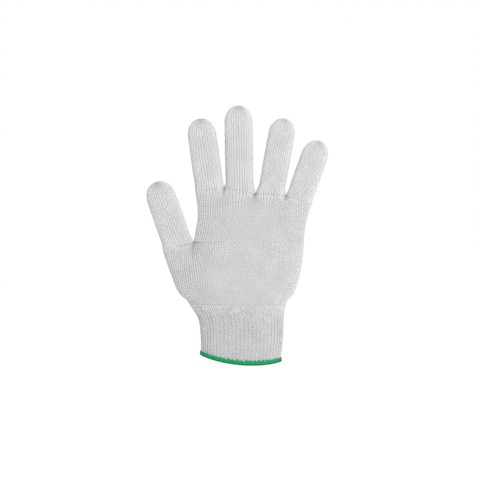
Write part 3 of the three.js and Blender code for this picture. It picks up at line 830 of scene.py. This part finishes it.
# Edge: green thread, overlocked round the cuff's cut end so that it doesn't unravel. Slanted loops go over
# the edge close together, and their tops stand up in small teeth.
EDGE_HEIGHT = 4.6
EDGE_CLEARANCE = 0.3
EDGE_LOOPS = 224
LOOP_LIFT = 0.35  # how far the loops stand off the cuff beyond the clearance
LOOP_DROP = 1.6  # how far their tops stay below the edge's height
SIDE_DROP = 1.3  # how much lower they lie at the cuff's two sides
LOOP_FOOT = -1.0  # how far they reach past the mouth
LOOP_SLANT = 0.55  # in loop spacings
LOOP_BREADTH = 0.62
LOOP_THICKNESS = 0.55
TOOTH_PITCH = 4.6  # loops from one tooth to the next
TOOTH_HEIGHT = 1.0
TOOTH_UNEVENNESS = 0.4
UNDER_DROP = 0.75  # where the loops go round under the mouth
UNDER_REACH = 2.2
UNDER_THICKNESS = 0.5
BAND_DROP = 2.2  # how far the closed band behind the loops stays below the edge's height
BAND_THICKNESS = 0.4
BAND_FOOT = -0.6  # its outer and its inner face past the mouth
BAND_FLOOR = -0.3
CHAIN_LIFT = 0.6  # where the thread along the edge lies, out of the clearance and past the mouth
CHAIN_DROP = 0.45
CHAIN_STITCH = 0.95  # in loop spacings
CHAIN_HEIGHT = 0.7
CHAIN_THICKNESS = 0.5
EDGE_SEED = 61
THREAD = (0.001, 0.215, 0.066)
THREAD_SHADE = (0.001, 0.085, 0.03)
UP = np.array([0.0, 0.0, 1.0])

mouth = cuff_ring(0, EDGE_LOOPS // 2)[0]
mouth_out = outwards_of(mouth)
mouth_step = (np.roll(mouth, -1, axis=0) - np.roll(mouth, 1, axis=0)) / 2


def edge_loops():
    """The loops outside and inside the cuff, and where they go round under its mouth."""
    count = len(mouth)
    tooth = 0.5 + 0.5 * np.sin(np.arange(count) * 2 * math.pi / TOOTH_PITCH)
    dice = np.random.default_rng(EDGE_SEED)
    # at the cuff's two sides the edge turns away, and the thread lies flatter
    narrow = np.abs(2 * mouth[:, 0] / np.ptp(mouth[:, 0])) ** 6
    parts = []
    for offset in (EDGE_CLEARANCE + LOOP_LIFT, -(RIB_RISE + CUFF_WALL + EDGE_CLEARANCE + LOOP_LIFT)):
        top = EDGE_HEIGHT - LOOP_DROP - SIDE_DROP * narrow + TOOTH_HEIGHT * tooth
        top = top + TOOTH_UNEVENNESS * dice.normal(size=count)
        middle = mouth + mouth_out * offset + UP * ((top + LOOP_FOOT) / 2)[:, None]
        half = UP * ((top - LOOP_FOOT) / 2)[:, None] + mouth_step * LOOP_SLANT
        parts.append([middle, half, mouth_step * LOOP_BREADTH, mouth_out * LOOP_THICKNESS])
    under = mouth + mouth_out * -(RIB_RISE + CUFF_WALL) / 2 - UP * UNDER_DROP
    thick = np.tile(UP * UNDER_THICKNESS, (count, 1))
    parts.append([under, mouth_out * UNDER_REACH, mouth_step * LOOP_BREADTH, thick])
    return spindles(*[np.concatenate(part) for part in zip(*parts)])


def edge_band():
    """A closed band of thread behind the loops, round the cut end, in the colour of thread in shade."""
    inside = -(RIB_RISE + CUFF_WALL + EDGE_CLEARANCE)
    top = EDGE_HEIGHT - BAND_DROP
    line = [
        (EDGE_CLEARANCE, top),
        (EDGE_CLEARANCE + BAND_THICKNESS, top - BAND_THICKNESS),
        (EDGE_CLEARANCE + BAND_THICKNESS, BAND_FOOT),
        (inside - BAND_THICKNESS, BAND_FOOT),
        (inside - BAND_THICKNESS, top - BAND_THICKNESS),
        (inside, top),
        (inside, BAND_FLOOR),
        (EDGE_CLEARANCE, BAND_FLOOR),
    ]
    count = len(mouth)
    points = np.concatenate([mouth + mouth_out * out + UP * rise for out, rise in line])
    triangles = []
    for k in range(len(line)):
        for c in range(count):
            here, beside = k * count + c, k * count + (c + 1) % count
            after, after_beside = (here + count) % len(points), (beside + count) % len(points)
            triangles += [(beside, here, after), (beside, after, after_beside)]
    return points, np.array(triangles), np.ones(len(triangles), int)


def edge_chain():
    """The thread that runs along under the loops, round the cut end, drawn in the painted shade green for the
    edge's lower side.
    """
    up = np.tile(UP, (len(mouth), 1))
    chain = mouth + mouth_out * (EDGE_CLEARANCE + CHAIN_LIFT) - up * CHAIN_DROP
    return spindles(chain, mouth_step * CHAIN_STITCH, up * CHAIN_HEIGHT, mouth_out * CHAIN_THICKNESS, 1)


green = yarn_finish("green thread", THREAD, fuzz=0.0, relief=0.4)
# painted shade: a darker green for the band behind the loops and the chain along the lower edge
painted_shade_green = yarn_finish("green thread in shade", THREAD_SHADE, fuzz=0.0, relief=0.4)
edge = make_piece("edge_overlock_thread", [edge_loops(), edge_band(), edge_chain()], [green, painted_shade_green])
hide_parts("edge_overlock")
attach(edge, "root")
